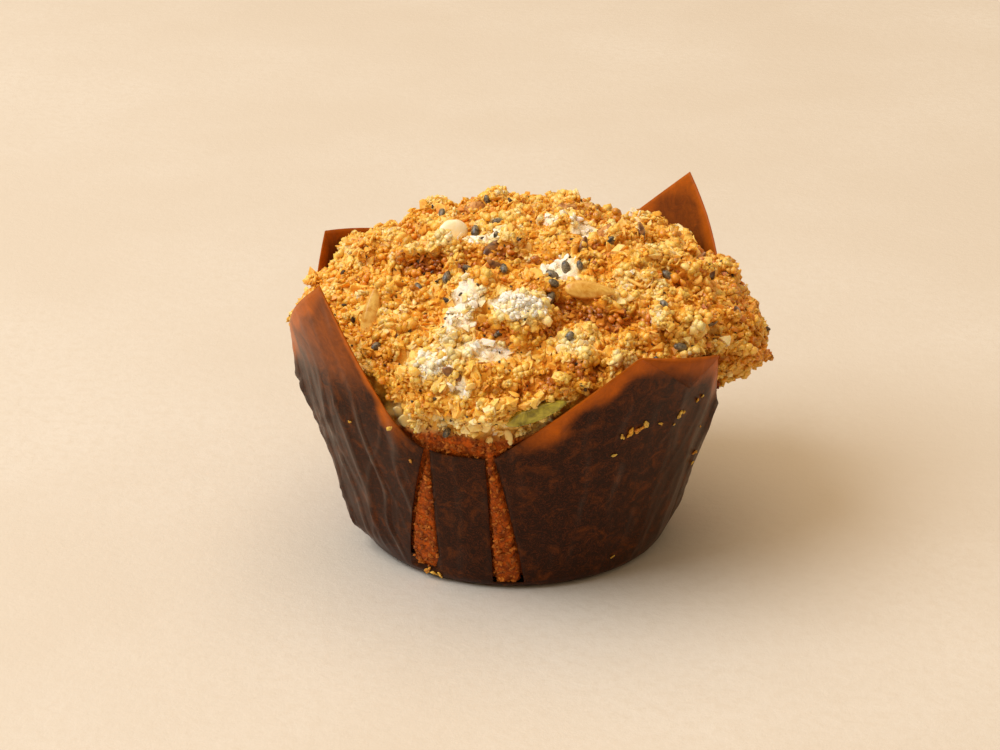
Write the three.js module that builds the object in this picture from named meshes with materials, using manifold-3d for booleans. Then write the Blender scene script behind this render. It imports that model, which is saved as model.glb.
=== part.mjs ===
// A seeded muffin in a tulip case of brown baking paper.
//
// Millimetres, +Z up, with the origin at the centre of the case's foot. An azimuth is in degrees: 0 is the
// front, which faces -Y, and it grows towards +X.

import * as THREE from "three";
import { mergeVertices } from "three/addons/utils/BufferGeometryUtils.js";
import Module from "manifold-3d";

const wasm = await Module();
wasm.setup();

// The case is a square sheet pressed to a cup. Its wall is a cone that starts on a rounded foot.
const paper = {
  footRadius: 27.5, // where the line of the wall would meet the ground
  footRound: 3,
  flare: 0.31, // radius gained for each millimetre of height
  thickness: 0.3,
  pleatDepth: 0.7,
  wallRows: 5,
  seam: 0.3, // between the foot and the patches of the wall
  petalColumns: 14,
  tongueColumns: 4,
};

// The corners of the sheet stand up as petals, in order of azimuth. A flank falls from the tip over `reach`
// degrees: straight at a `curve` of 1, hollow above that and full below it.
const petals = [
  { azimuth: -45, tip: 58.5, before: { reach: 50, curve: 0.9 }, after: { reach: 30, curve: 3 } },
  { azimuth: 44, tip: 56, before: { reach: 50, curve: 1 }, after: { reach: 30, curve: 1 } },
  { azimuth: 133.5, tip: 57, before: { reach: 45, curve: 1 }, after: { reach: 45, curve: 1.1 } },
  { azimuth: 236, tip: 48, before: { reach: 50, curve: 0.33 }, after: { reach: 30, curve: 1.3 } },
];

// The patches of wall between the slits, in order of azimuth from the front tongue.
const patchNames = [
  "tongue_front",
  "petal_front_right",
  "tongue_right",
  "petal_back_right",
  "tongue_back",
  "petal_back_left",
  "tongue_left",
  "petal_front_left",
];

// Side k lies between petal k and the next one. Its edge dips to `dip`, and two slits leave a tongue there.
const frontSlits = [
  { top: -24, foot: -34, openTop: 1.2, openFoot: 13 },
  { top: -7, foot: -2.5, openTop: 2.4, openFoot: 11 },
];
const sides = [
  { dip: 29, slits: frontSlits },
  { dip: 26, slits: mirroredSlits(90) },
  { dip: 28, slits: mirroredSlits(180) },
  { dip: 29, slits: turnedSlits(270) },
];

// The tip of the front right petal is folded over outwards along this line.
const fold = {
  from: { azimuth: 29, height: 47.6 },
  to: { azimuth: 58.4, height: 41.7 },
  drop: 5.6, // how far the folded tip hangs below the line
  tipShare: 0.56, // where along the line it hangs lowest
  clearance: 0.25, // from the petal to the flap
  standOff: 0.75,
  columns: 8,
};

// The crumb stands inside the case. Its crust is a dome that leans a little to the right and overhangs.
const crumbGap = 0.45; // from the paper's inner face to the crumb
const cutGap = 0.35; // what the overhanging crust keeps clear of the paper's edge
const crust = {
  centre: new THREE.Vector2(2, 0.8),
  radius: 42.6,
  rimHeight: 38.6,
  tilt: new THREE.Vector2(-0.035, 0.03), // how the rim rises along X and Y
  lean: 4.5, // how far the dome's top lies to the right of the rim's centre
  dome: { height: 18, spread: 1.9, round: 1.6 }, // the powers of a rounded cone
  skirt: { height: 5.5, spread: 6, round: 2 }, // how far the crust reaches down from the rim
  relief: 0.7, // fine crags between the knobs
};
const eye = new THREE.Vector3(1.5, 0.5, 38); // every point of the crumb's skin can be seen from here
const skin = { detail: 17, flatten: 0.6, crowd: 0.25 }; // a ball's mesh, pressed towards the rim and raised
const farOut = 62; // further from the eye than any point of the skin

// Knobs of dough that broke through the crust, spread evenly over the dome.
const knobs = { count: 52, lowest: 93, radius: [5, 8], rise: [0.8, 2.2], jitter: 7 };
const bulge = { azimuth: 84, distance: 37.3, height: 37.9, radius: 8.2 }; // the crust's furthest overhang

// What lies on the crust, largest first: length, width and depth in millimetres. The ones that catch the eye
// are placed by azimuth, angle down from straight above the eye, and turn on the crust from level.
const toppings = [
  {
    kind: "pumpkin seed",
    size: [12.5, 5.2, 2.4],
    placed: [{ azimuth: 2.2, down: 87, turn: 20 }],
    count: 2,
    spacing: 24,
  },
  {
    kind: "sunflower kernel",
    size: [9.5, 4.4, 2.8],
    placed: [
      { azimuth: 31, down: 56.5, turn: -4 },
      { azimuth: -50.5, down: 71.5, turn: 82 },
    ],
    count: 6,
    spacing: 15,
  },
  { kind: "nut", size: [6, 5, 3.6], placed: [{ azimuth: -64.5, down: 34.5, turn: 10 }], count: 3, spacing: 16 },
  { kind: "oat flake", size: [5.6, 4, 1.6], placed: [], count: 20, spacing: 8 },
  { kind: "clump of crumbs", size: [4.2, 3.6, 3], placed: [], count: 36, spacing: 5.5 },
  { kind: "flax seed", size: [4.2, 2.3, 1.5], placed: [], count: 20, spacing: 4.5 },
];
const raised = 0.12; // the middle of a topping stands this share of its depth above the skin

const radians = THREE.MathUtils.degToRad;
const crustFoot = crust.rimHeight - crust.skirt.height;
const wallStretch = Math.hypot(1, paper.flare);
const arcCentre = paper.footRadius + paper.flare * paper.footRound - paper.footRound * wallStretch;

// A point at a radius from the axis, an azimuth and a height.
function polar(radius, azimuth, height) {
  const a = radians(azimuth);
  return new THREE.Vector3(radius * Math.sin(a), -radius * Math.cos(a), height);
}

// A seeded source of numbers from 0 to 1, so that every build is the same.
function seeded(seed) {
  let state = seed >>> 0;
  return () => {
    state = (state + 0x6d2b79f5) >>> 0;
    let t = Math.imul(state ^ (state >>> 15), 1 | state);
    t = (t + Math.imul(t ^ (t >>> 7), 61 | t)) ^ t;
    return ((t ^ (t >>> 14)) >>> 0) / 4294967296;
  };
}

// The front's slits turned to another side, and the same in mirror image.
function turnedSlits(centre) {
  return frontSlits.map((s) => ({ ...s, top: centre + s.top, foot: centre + s.foot }));
}

function mirroredSlits(centre) {
  return frontSlits.map((s) => ({ ...s, top: centre - s.top, foot: centre - s.foot })).reverse();
}

// The azimuth brought to within half a turn of another one.
function near(azimuth, other) {
  return azimuth - 360 * Math.round((azimuth - other) / 360);
}

// The wall's radius at a height, `inset` millimetres in from its outer face.
function wallRadius(height, inset = 0) {
  return paper.footRadius + paper.flare * height - inset * wallStretch;
}

// How much of its height a petal's flank keeps at an azimuth, from 1 at the tip to 0 beyond its reach.
function flank(petal, azimuth) {
  const away = near(azimuth, petal.azimuth) - petal.azimuth;
  const { reach, curve } = away < 0 ? petal.before : petal.after;
  return Math.pow(Math.max(0, 1 - Math.abs(away) / reach), curve);
}

// The height of the fold's line at an azimuth.
function foldHeight(azimuth) {
  const share = (near(azimuth, fold.from.azimuth) - fold.from.azimuth) / (fold.to.azimuth - fold.from.azimuth);
  return THREE.MathUtils.lerp(fold.from.height, fold.to.height, share);
}

// The height of the paper's edge at an azimuth.
function edgeHeight(azimuth) {
  const a = near(azimuth, 135);
  const side = sides.findLastIndex((_, k) => a >= near(petals[k].azimuth, 135));
  const at = (side + sides.length) % sides.length;
  const { dip } = sides[at];
  const neighbours = [petals[at], petals[(at + 1) % petals.length]];
  const height = Math.max(...neighbours.map((p) => dip + (p.tip - dip) * flank(p, azimuth)));
  return Math.abs(near(azimuth, petals[1].azimuth) - petals[1].azimuth) < 22
    ? Math.min(height, foldHeight(azimuth))
    : height;
}

// The wall from the foot up: radius, height and outward normal, with `share` from 0 at the middle of the foot
// and 1 at the top of its rounding.
function footProfile(share) {
  const steepest = Math.atan(paper.flare);
  const angle = THREE.MathUtils.lerp(-Math.PI / 2, -steepest, share);
  const normal = new THREE.Vector2(Math.cos(angle), Math.sin(angle));
  const radius = arcCentre + paper.footRound * normal.x;
  return { radius, height: paper.footRound * (1 + normal.y), normal };
}

const footRows = [0, 0.5, 1].map(footProfile);
const wallFoot = footRows.at(-1);

// The patches of wall between the slits, each with the azimuth of its lines at the foot and at the edge.
function wallLines(shrink) {
  const slits = sides.flatMap((side) => side.slits);
  return slits.flatMap((slit, k) => {
    const next = slits[(k + 1) % slits.length];
    const turn = k + 1 === slits.length ? 360 : 0;
    const isPetal = k % 2 === 1;
    const left = (end, open) => slit[end] + slit[open] / 2 - shrink;
    const right = (end, open) => next[end] - next[open] / 2 + turn + shrink;
    const ends = [
      [left("foot", "openFoot"), right("foot", "openFoot")],
      [left("top", "openTop"), right("top", "openTop")],
    ];
    const petal = petals[((k + 1) / 2) % petals.length];
    const columns = isPetal ? paper.petalColumns : paper.tongueColumns;
    return Array.from({ length: columns + 1 }, (_, m) => {
      const share = m / columns;
      const pleat = isPetal && m % 2 === 1 ? Math.sin(Math.PI * share) : 0;
      const azimuths = ends.map(([from, to]) => {
        if (!isPetal) return THREE.MathUtils.lerp(from, to, share);
        const tip = near(petal.azimuth, (from + to) / 2);
        const away = Math.abs(2 * share - 1) ** 1.3;
        return THREE.MathUtils.lerp(tip, share < 0.5 ? from : to, away);
      });
      return { azimuths, pleat, patch: patchNames[k], gapAfter: m === columns };
    });
  });
}

// The case as a closed shell. `grow` thickens it all over, for cutting the crust clear of it, and `covers`
// tells by patch and row which cells of the sheet belong to it.
function paperShell(grow, covers = () => true) {
  const lines = wallLines(grow);
  const skins = [grow, -paper.thickness - grow].map((offset) =>
    lines.map(({ azimuths, pleat }) => {
      const [azimuthAtFoot, azimuthAtTop] = azimuths;
      const place = ({ radius, height, normal }, azimuth) =>
        polar(radius + offset * normal.x, azimuth, height + offset * normal.y);
      const column = [new THREE.Vector3(0, 0, -offset), ...footRows.map((row) => place(row, azimuthAtFoot))];
      const top = edgeHeight(azimuthAtTop) + grow;
      const rise = top - wallFoot.height;
      for (let row = 0; row <= paper.wallRows; row++) {
        const share = row === 0 ? paper.seam / rise : row / paper.wallRows;
        const height = wallFoot.height + rise * share;
        const azimuth = THREE.MathUtils.lerp(azimuthAtFoot, azimuthAtTop, share);
        const out = paper.pleatDepth * pleat * Math.sin(Math.PI * share ** 0.8) ** 2;
        column.push(place({ radius: wallRadius(height) + out, height, normal: wallFoot.normal }, azimuth));
      }
      return column;
    }),
  );
  return shellSolid(
    skins,
    (i, row) => !(lines[i].gapAfter && row >= footRows.length) && covers(lines[i].patch, row),
  );
}

// The sheet in pieces: its foot, and each patch of its wall, which starts a seam above the foot.
function paperPieces() {
  const foot = paperShell(0, (_, row) => row < footRows.length);
  const patches = patchNames.map((name) => [
    name,
    paperShell(0, (patch, row) => patch === name && row > footRows.length),
  ]);
  return [["paper_foot", foot], ...patches];
}

// Joins an outer and an inner skin, columns of points round the axis, to one closed solid. `covered` says
// whether the cell after a line and above a row is there, and row 0 is the pole that all columns share.
function shellSolid([outer, inner], covered) {
  const count = outer.length;
  const rows = outer[0].length - 1;
  const points = [];
  const has = (i, row) => row >= 0 && row < rows && covered((i + count) % count, row);
  const quad = (a, b, c, d) => points.push(a, b, c, a, c, d);
  for (let i = 0; i < count; i++) {
    const j = (i + 1) % count;
    for (let row = 0; row < rows; row++) {
      if (!has(i, row)) continue;
      const corners = [[i, row], [j, row], [j, row + 1], [i, row + 1]];
      const [a, b, c, d] = corners.map(([k, r]) => outer[k][r]);
      const [e, f, g, h] = corners.map(([k, r]) => inner[k][r]);
      if (row === 0) {
        points.push(a, c, d, e, h, g);
        continue;
      }
      quad(a, b, c, d);
      quad(e, h, g, f);
      if (!has(i, row + 1)) quad(d, c, g, h);
      if (!has(i, row - 1)) quad(b, a, e, f);
      if (!has(i + 1, row)) quad(c, b, f, g);
      if (!has(i - 1, row)) quad(a, d, h, e);
    }
  }
  return solidOf(new THREE.BufferGeometry().setFromPoints(points));
}

// The folded tip: a three-cornered flap that hangs from the fold's line, filled down to just off its petal.
function foldedTip(grow = 0) {
  const lines = Array.from({ length: fold.columns + 1 }, (_, k) => {
    const share = k / fold.columns;
    const azimuth = THREE.MathUtils.lerp(fold.from.azimuth, fold.to.azimuth, share);
    const hang = share < fold.tipShare ? share / fold.tipShare : (1 - share) / (1 - fold.tipShare);
    const top = foldHeight(azimuth);
    const bottom = top - Math.max(fold.drop * hang, paper.thickness) - grow;
    const inner = fold.clearance - grow;
    const outer = fold.clearance + paper.thickness + grow;
    return [
      polar(wallRadius(bottom) + outer + fold.standOff * hang, azimuth, bottom),
      polar(wallRadius(top) + outer, azimuth, top + grow),
      polar(wallRadius(top) + inner, azimuth, top + grow),
      polar(wallRadius(bottom) + inner, azimuth, bottom),
    ];
  });
  const points = [];
  const quad = (a, b, c, d) => points.push(a, b, c, a, c, d);
  lines.slice(1).forEach((next, k) => {
    const last = lines[k];
    for (let side = 0; side < 4; side++) {
      const after = (side + 1) % 4;
      quad(last[side], next[side], next[after], last[after]);
    }
  });
  quad(...lines[0]);
  quad(...lines.at(-1).toReversed());
  return solidOf(new THREE.BufferGeometry().setFromPoints(points));
}

// Whether a point lies in the part of the crumb that the case holds.
function insideTrunk(radius, height) {
  const inset = paper.thickness + crumbGap;
  if (height < inset || radius > wallRadius(height, inset)) return false;
  const inRounding = radius > arcCentre && height < paper.footRound;
  return !inRounding || Math.hypot(radius - arcCentre, height - paper.footRound) < paper.footRound - inset;
}

// Whether a point lies in the smooth dome of crust.
function insideCrust(x, y, z) {
  const dx = x - crust.centre.x;
  const dy = y - crust.centre.y;
  const rise = z - crust.rimHeight - crust.tilt.x * dx - crust.tilt.y * dy;
  const { height, spread, round } = rise > 0 ? crust.dome : crust.skirt;
  const leant = dx - (crust.lean * Math.max(0, rise)) / crust.dome.height;
  return (Math.hypot(leant, dy) / crust.radius) ** spread + (Math.abs(rise) / height) ** round < 1;
}

// The furthest that the crust may reach from the axis: inside the petals, and out over the lower edges.
function crustLimit(azimuth, height) {
  const inset = paper.thickness + crumbGap;
  const edge = Math.max(...[-5, 0, 5].map((turn) => edgeHeight(azimuth + turn)));
  const over = Math.max(0, height - edge - 2 * crumbGap);
  return wallRadius(height, inset) + 4 * over;
}

const knobBalls = [];

function insideCrumb(p) {
  const radius = Math.hypot(p.x, p.y);
  if (p.z < crust.rimHeight && insideTrunk(radius, p.z)) return true;
  const inDome = insideCrust(p.x, p.y, p.z);
  if (!inDome && !knobBalls.some((ball) => ball.centre.distanceTo(p) < ball.radius)) return false;
  return radius < crustLimit(THREE.MathUtils.radToDeg(Math.atan2(p.x, -p.y)), p.z);
}

// How far the skin lies from the eye in a direction: the outermost place where a ray leaves the crumb.
function skinDistance(direction) {
  const at = new THREE.Vector3();
  const inside = (distance) => insideCrumb(at.copy(direction).multiplyScalar(distance).add(eye));
  const step = 0.8;
  let low = farOut;
  while (low > step && !inside(low)) low -= step;
  let high = low + step;
  for (let halving = 0; halving < 12; halving++) {
    const middle = (low + high) / 2;
    if (inside(middle)) low = middle;
    else high = middle;
  }
  return low;
}

function skinPoint(direction) {
  return direction.clone().multiplyScalar(skinDistance(direction)).add(eye);
}

// The direction from the eye at an azimuth and an angle down from straight up.
function towards(azimuth, down) {
  return polar(Math.sin(radians(down)), azimuth, Math.cos(radians(down)));
}

// The skin's outward normal, from three points of it close together.
function skinNormal(azimuth, down) {
  const turn = 5;
  const side = turn / Math.max(0.2, Math.sin(radians(down)));
  const [a, b, c] = [
    skinPoint(towards(azimuth - side, down)),
    skinPoint(towards(azimuth + side, down)),
    skinPoint(towards(azimuth, down - turn)),
  ];
  return new THREE.Vector3().crossVectors(b.sub(a), c.sub(a)).normalize();
}

// Directions spread evenly over the dome, as seeds are on a sunflower's head.
function spreadKnobs() {
  const random = seeded(11);
  const golden = 180 * (3 - Math.sqrt(5));
  const between = ([low, high]) => THREE.MathUtils.lerp(low, high, random());
  const lowestCosine = Math.cos(radians(knobs.lowest));
  const balls = Array.from({ length: knobs.count }, (_, k) => {
    const cosine = THREE.MathUtils.lerp(1, lowestCosine, (k + 0.5) / knobs.count);
    const down = THREE.MathUtils.radToDeg(Math.acos(cosine)) + knobs.jitter * (random() - 0.5);
    const direction = towards(golden * k + 2 * knobs.jitter * (random() - 0.5), down);
    const radius = between(knobs.radius);
    const distance = skinDistance(direction) + between(knobs.rise) - radius;
    return { centre: direction.multiplyScalar(distance).add(eye), radius };
  });
  knobBalls.push(...balls, { centre: polar(bulge.distance, bulge.azimuth, bulge.height), radius: bulge.radius });
}

// A geometry's positions alone, with its shared corners merged.
function merged(geometry) {
  const bare = new THREE.BufferGeometry();
  bare.setAttribute("position", geometry.attributes.position);
  bare.setIndex(geometry.index);
  return mergeVertices(bare, 1e-4);
}

// A closed geometry as a solid.
function solidOf(geometry) {
  const { attributes, index } = merged(geometry);
  const triVerts = new Uint32Array(index.array);
  return new wasm.Manifold(
    new wasm.Mesh({ numProp: 3, vertProperties: attributes.position.array, triVerts }),
  );
}

function geometryOf(solid) {
  const { vertProperties, triVerts } = solid.getMesh();
  const geometry = new THREE.BufferGeometry();
  geometry.setAttribute("position", new THREE.BufferAttribute(new Float32Array(vertProperties), 3));
  geometry.setIndex(new THREE.BufferAttribute(new Uint32Array(triVerts), 1));
  geometry.computeVertexNormals();
  return geometry;
}

// The crumb and its crust: a ball of points drawn out from the eye to the skin, with crags above the rim.
function crumbCore() {
  const random = seeded(29);
  const ball = merged(new THREE.IcosahedronGeometry(1, skin.detail));
  const place = ball.attributes.position;
  const direction = new THREE.Vector3();
  for (let k = 0; k < place.count; k++) {
    direction.fromBufferAttribute(place, k);
    direction.z = skin.flatten * direction.z + skin.crowd;
    direction.normalize();
    const distance = skinDistance(direction);
    const height = direction.z * distance + eye.z;
    const crag = height > crustFoot ? crust.relief * random() : 0;
    direction.multiplyScalar(distance - crag).add(eye);
    place.setXYZ(k, direction.x, direction.y, direction.z);
  }
  return solidOf(ball);
}

// A low ellipsoid lying on the skin, turned about the normal and half sunk in.
function topping([length, width, depth], { azimuth, down, turn }) {
  const normal = skinNormal(azimuth, down);
  const along = new THREE.Vector3(0, 0, 1).cross(normal).normalize();
  along.applyAxisAngle(normal, radians(turn));
  const across = new THREE.Vector3().crossVectors(normal, along);
  const place = new THREE.Matrix4().makeBasis(along, across, normal);
  place.setPosition(skinPoint(towards(azimuth, down)).addScaledVector(normal, raised * depth));
  const shape = length > 8 ? new THREE.SphereGeometry(0.5, 7, 4) : new THREE.IcosahedronGeometry(0.5, 0);
  shape.scale(length, width, depth).applyMatrix4(place);
  return shape;
}

// Whether every corner of a shape is clear of the paper, and above the crust's lower edge.
function clearOfPaper(shape) {
  const place = shape.attributes.position;
  const corner = new THREE.Vector3();
  for (let k = 0; k < place.count; k++) {
    corner.fromBufferAttribute(place, k);
    const azimuth = THREE.MathUtils.radToDeg(Math.atan2(corner.x, -corner.y));
    if (corner.z < crustFoot) return false;
    if (Math.hypot(corner.x, corner.y) > crustLimit(azimuth, corner.z) - crumbGap) return false;
  }
  return true;
}

// Toppings of each kind as solids: the placed ones, and then others spread at random over the dome, at least
// their spacing apart.
function scatteredToppings() {
  const random = seeded(9);
  const draw = () => ({
    azimuth: 360 * random(),
    down: THREE.MathUtils.radToDeg(Math.acos(1 - 1.1 * random())),
    turn: 180 * random(),
  });
  const taken = [];
  const solids = [];
  for (const { size, placed, count, spacing } of toppings) {
    let left = placed.length + count;
    for (let attempt = 0; attempt < 60 * count && left > 0; attempt++) {
      const lie = placed[attempt] ?? draw();
      const at = skinPoint(towards(lie.azimuth, lie.down));
      if (taken.some((t) => t.at.distanceTo(at) < (t.spacing + spacing) / 2)) continue;
      const shape = topping(size, lie);
      if (!clearOfPaper(shape)) continue;
      taken.push({ at, spacing });
      solids.push(solidOf(shape));
      left -= 1;
    }
  }
  return solids;
}

// The whole muffin without its case, cut clear of the paper's edge, with any loose scrap dropped.
function muffinCrumb() {
  spreadKnobs();
  const whole = wasm.Manifold.union([crumbCore(), ...scatteredToppings()]);
  const pieces = whole.subtract(paperShell(cutGap)).subtract(foldedTip(cutGap)).decompose();
  return pieces.reduce((a, b) => (a.volume() > b.volume() ? a : b));
}

function named(name, solid, material) {
  const mesh = new THREE.Mesh(geometryOf(solid), material);
  mesh.name = name;
  return mesh;
}

const crustMaterial = new THREE.MeshStandardMaterial({ color: 0xd59a4a, roughness: 0.75, metalness: 0 });
const paperMaterial = new THREE.MeshStandardMaterial({ color: 0x3d2415, roughness: 0.5, metalness: 0 });

const muffin = new THREE.Group();
muffin.add(named("muffin_crumb", muffinCrumb(), crustMaterial));
paperPieces().forEach(([name, solid]) => muffin.add(named(name, solid, paperMaterial)));
muffin.add(named("folded_tip", foldedTip(), paperMaterial));

export default muffin;
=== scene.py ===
"""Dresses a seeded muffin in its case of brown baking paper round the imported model."""

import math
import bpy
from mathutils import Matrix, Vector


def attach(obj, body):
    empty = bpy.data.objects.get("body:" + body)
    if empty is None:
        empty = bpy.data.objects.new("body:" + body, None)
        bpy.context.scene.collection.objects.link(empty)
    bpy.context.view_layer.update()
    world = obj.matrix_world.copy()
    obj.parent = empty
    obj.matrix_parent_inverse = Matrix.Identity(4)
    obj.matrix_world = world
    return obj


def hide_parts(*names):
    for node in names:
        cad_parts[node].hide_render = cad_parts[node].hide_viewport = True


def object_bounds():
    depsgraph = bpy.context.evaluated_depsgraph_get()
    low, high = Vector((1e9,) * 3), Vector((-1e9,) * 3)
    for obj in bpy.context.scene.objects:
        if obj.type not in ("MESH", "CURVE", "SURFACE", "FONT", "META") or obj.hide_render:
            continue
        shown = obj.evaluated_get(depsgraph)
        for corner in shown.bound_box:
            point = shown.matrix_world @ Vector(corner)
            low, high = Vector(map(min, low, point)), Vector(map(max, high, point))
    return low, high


bl_info = {
    "name": "Seeded Muffin",
    "version": (1, 0, 0),
    "blender": (4, 5, 0),
    "location": "3D View > Sidebar > Muffin",
    "description": "Bakes the crust, sows its seeds and folds the paper case of a muffin",
    "category": "Object",
}

import bpy
import numpy as np
from bpy.props import FloatProperty, FloatVectorProperty, IntProperty, PointerProperty
from mathutils import Vector, noise
from mathutils.bvhtree import BVHTree

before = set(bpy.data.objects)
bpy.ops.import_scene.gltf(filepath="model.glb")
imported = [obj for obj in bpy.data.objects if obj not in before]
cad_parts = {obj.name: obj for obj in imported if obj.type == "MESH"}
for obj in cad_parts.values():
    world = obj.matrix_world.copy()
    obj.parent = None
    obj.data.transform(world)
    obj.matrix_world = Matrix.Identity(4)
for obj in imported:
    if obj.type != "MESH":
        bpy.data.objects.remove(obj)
cad_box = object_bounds()

MM = 0.001
UP = np.array((0.0, 0.0, 1.0))
PAPER_NODES = (
    "paper_foot", "tongue_front", "petal_front_right", "tongue_right", "petal_back_right", "tongue_back",
    "petal_back_left", "tongue_left", "petal_front_left", "folded_tip",
)

# The case repeats the sizes of the imported paper. An azimuth is in degrees from the front, -Y, towards +X.
# A petal reaches over a width with a bend before and after its tip. Its pleats have a strength on each side,
# and its upper part is lighter by a share, partly drier paper and partly a painted glow of light shining
# through it. DIPS are the heights in mm of the edge between the petals.
PETALS = (
    {"azimuth": -45, "tip": 58.5, "before": (50, 0.9), "after": (30, 3.0), "pleats": (0.9, 0.35),
     "dry_and_backlit": 0.45},
    {"azimuth": 44, "tip": 56, "before": (50, 1.0), "after": (30, 1.0), "pleats": (0.05, 0.4),
     "dry_and_backlit": 0.15},
    {"azimuth": 133.5, "tip": 57, "before": (45, 1.0), "after": (45, 1.1), "pleats": (0.7, 0.45),
     "dry_and_backlit": 0.4},
    {"azimuth": 236, "tip": 48, "before": (50, 0.33), "after": (30, 1.3), "pleats": (0.45, 0.8),
     "dry_and_backlit": 0.4},
)
DIPS = (29, 26, 28, 29)

# A slit has its azimuth at its top and at its foot, and then its opening there, all in degrees. The other
# sides repeat the front's slits, turned or mirrored. FOLD is the line that a petal's tip is folded along.
FRONT_SLITS = ((-24, -34, 1.2, 13), (-7, -2.5, 2.4, 11))
SIDE_TURNS = ((0, 1), (90, -1), (180, -1), (270, 1))
FOLD = {"from": (29, 47.6), "to": (58.4, 41.7), "drop": 5.6, "tip_share": 0.56, "stand_off": 0.9}

# Places in the photo, in its pixels, of what catches the eye on the crust. A seed may have its turn after
# its place, in degrees. A patch has its radius, and a clump its radius and its height, all in mm.
PUMPKIN_SEED = (535, 410, 20)
KERNELS = ((590, 291, -4), (372, 314, 82))
NUT_PIECES = (
    (475, 209, 10), (564, 212, 20), (588, 208, -15), (606, 233, 40), (404, 223, 60), (403, 260, 100),
)
CREAMY_LUMP = (452, 232, 10)
DARK_SEEDS = (
    (567, 267), (580, 266), (570, 338), (476, 232), (498, 223), (498, 236), (468, 271), (447, 277),
    (554, 284), (505, 270), (564, 187), (488, 199), (443, 215), (375, 348), (447, 434), (667, 277),
    (710, 320), (664, 305), (680, 349), (551, 277), (548, 299), (609, 241), (420, 290), (512, 191),
)
BROWN_SEEDS = (
    (492, 249), (497, 267), (454, 374), (709, 275), (583, 250), (700, 262), (640, 232), (735, 312),
)
PALE_PATCHES = (
    (452, 232, 3.4), (482, 230, 4.4), (461, 293, 4.6), (453, 313, 4.2), (591, 226, 4.6), (560, 265, 5.0),
    (487, 347, 3.4), (497, 303, 1.6), (455, 388, 2.4), (620, 210, 3.0), (548, 215, 2.6),
)
CREVICES = (
    ((500, 246), (536, 252), (552, 246)),
    ((482, 322), (505, 335), (535, 332), (562, 322)),
    ((590, 312), (612, 318), (640, 306)),
    ((505, 392), (545, 380), (597, 366)),
    ((404, 262), (440, 262), (470, 262)),
    ((562, 300), (580, 304), (610, 303)),
    ((640, 262), (668, 266), (690, 280)),
)
CLUMPS = (
    (525, 311, 7.0, 1.7), (430, 245, 6.5, 1.0), (600, 345, 8.0, 0.9), (450, 350, 8.0, 0.9),
    (640, 290, 6.0, 0.9),
)

# A seed's tip that would stand out of the dome: its place, its reach and the height that it keeps, in mm.
STRAY_TIP = (-14.4, 30.8, 3.0, 52.2)

# Crumbs stuck to the paper, each with its place in the photo and its length in steps of 0.9 mm.
STUCK_CRUMBS = (
    (622, 436, 1.6), (630, 433, 2.4), (638, 430, 2.2), (647, 424, 2.8), (613, 455, 1.4), (660, 423, 1.2),
    (673, 425, 1.0), (680, 414, 2.0), (683, 412, 1.5), (697, 400, 1.3), (702, 396, 1.4), (390, 429, 2.0),
    (410, 435, 2.4), (413, 438, 1.6), (411, 460, 1.9), (431, 449, 1.7), (350, 421, 1.0), (445, 449, 2.2),
    (395, 560, 2.4), (401, 563, 2.2), (428, 570, 2.0), (434, 573, 2.6), (441, 575, 1.8), (612, 556, 1.2),
    (638, 557, 2.2), (656, 548, 2.4), (662, 543, 1.8), (700, 425, 1.0), (694, 452, 1.4), (692, 462, 1.2),
)


def srgb(red, green, blue):
    """A colour given as it looks on a screen, from 0 to 255, as Blender's linear colour."""
    values = [c / 255 for c in (red, green, blue)]
    return tuple(v / 12.92 if v <= 0.04045 else ((v + 0.055) / 1.055) ** 2.4 for v in values)


class MuffinPaper(bpy.types.PropertyGroup):
    """Sizes and colours of the case."""

    foot_radius: FloatProperty(name="Foot radius", description="Where the wall's line meets the ground",
                               default=27.5 * MM, unit="LENGTH")
    foot_round: FloatProperty(name="Foot rounding", description="Radius of the edge round the foot",
                              default=3 * MM, unit="LENGTH")
    flare: FloatProperty(name="Flare", description="Radius gained over height", default=0.31)
    thickness: FloatProperty(name="Paper thickness", description="Thickness of the sheet",
                             default=0.14 * MM, unit="LENGTH")
    pleat: FloatProperty(name="Pleat depth", description="How far the deepest pleats stand out",
                         default=2.6 * MM, unit="LENGTH")
    soaked: FloatVectorProperty(name="Soaked paper", description="Paper that the crumb's fat has darkened",
                                subtype="COLOR", size=3, default=srgb(47, 22, 6))
    # Lighter paper along the free edges: partly drier paper, partly a painted glow of light shining through
    # it.
    dry_and_backlit: FloatVectorProperty(name="Dry paper", description="Paper along the free edges",
                             subtype="COLOR", size=3, default=srgb(190, 94, 6))


class MuffinCrust(bpy.types.PropertyGroup):
    """Sizes and colours of the crust and the crumb."""

    voxel: FloatProperty(name="Mesh size", description="Size of the crust's own mesh cells",
                         default=0.54 * MM, unit="LENGTH")
    crumbs: IntProperty(name="Crumbs", description="How many fine crumbs lie on the crust", default=9600)
    pearls: IntProperty(name="Pearls", description="How many smooth grains lie on the crust", default=5200)
    clumps: IntProperty(name="Clumps", description="How many fused clumps lie on the crust", default=1900)
    slit_crumbs: IntProperty(name="Slit crumbs", description="How many crumbs lie in the slits",
                             default=2600)
    flakes: IntProperty(name="Flakes", description="How many pale flakes lie on the crust", default=2300)
    specks: IntProperty(name="Specks", description="How many broken bits of seed lie on the crust",
                        default=800)
    side: FloatVectorProperty(name="Crumb side", description="Bare crumb that shows in the slits",
                              subtype="COLOR", size=3, default=srgb(204, 92, 4))


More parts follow.
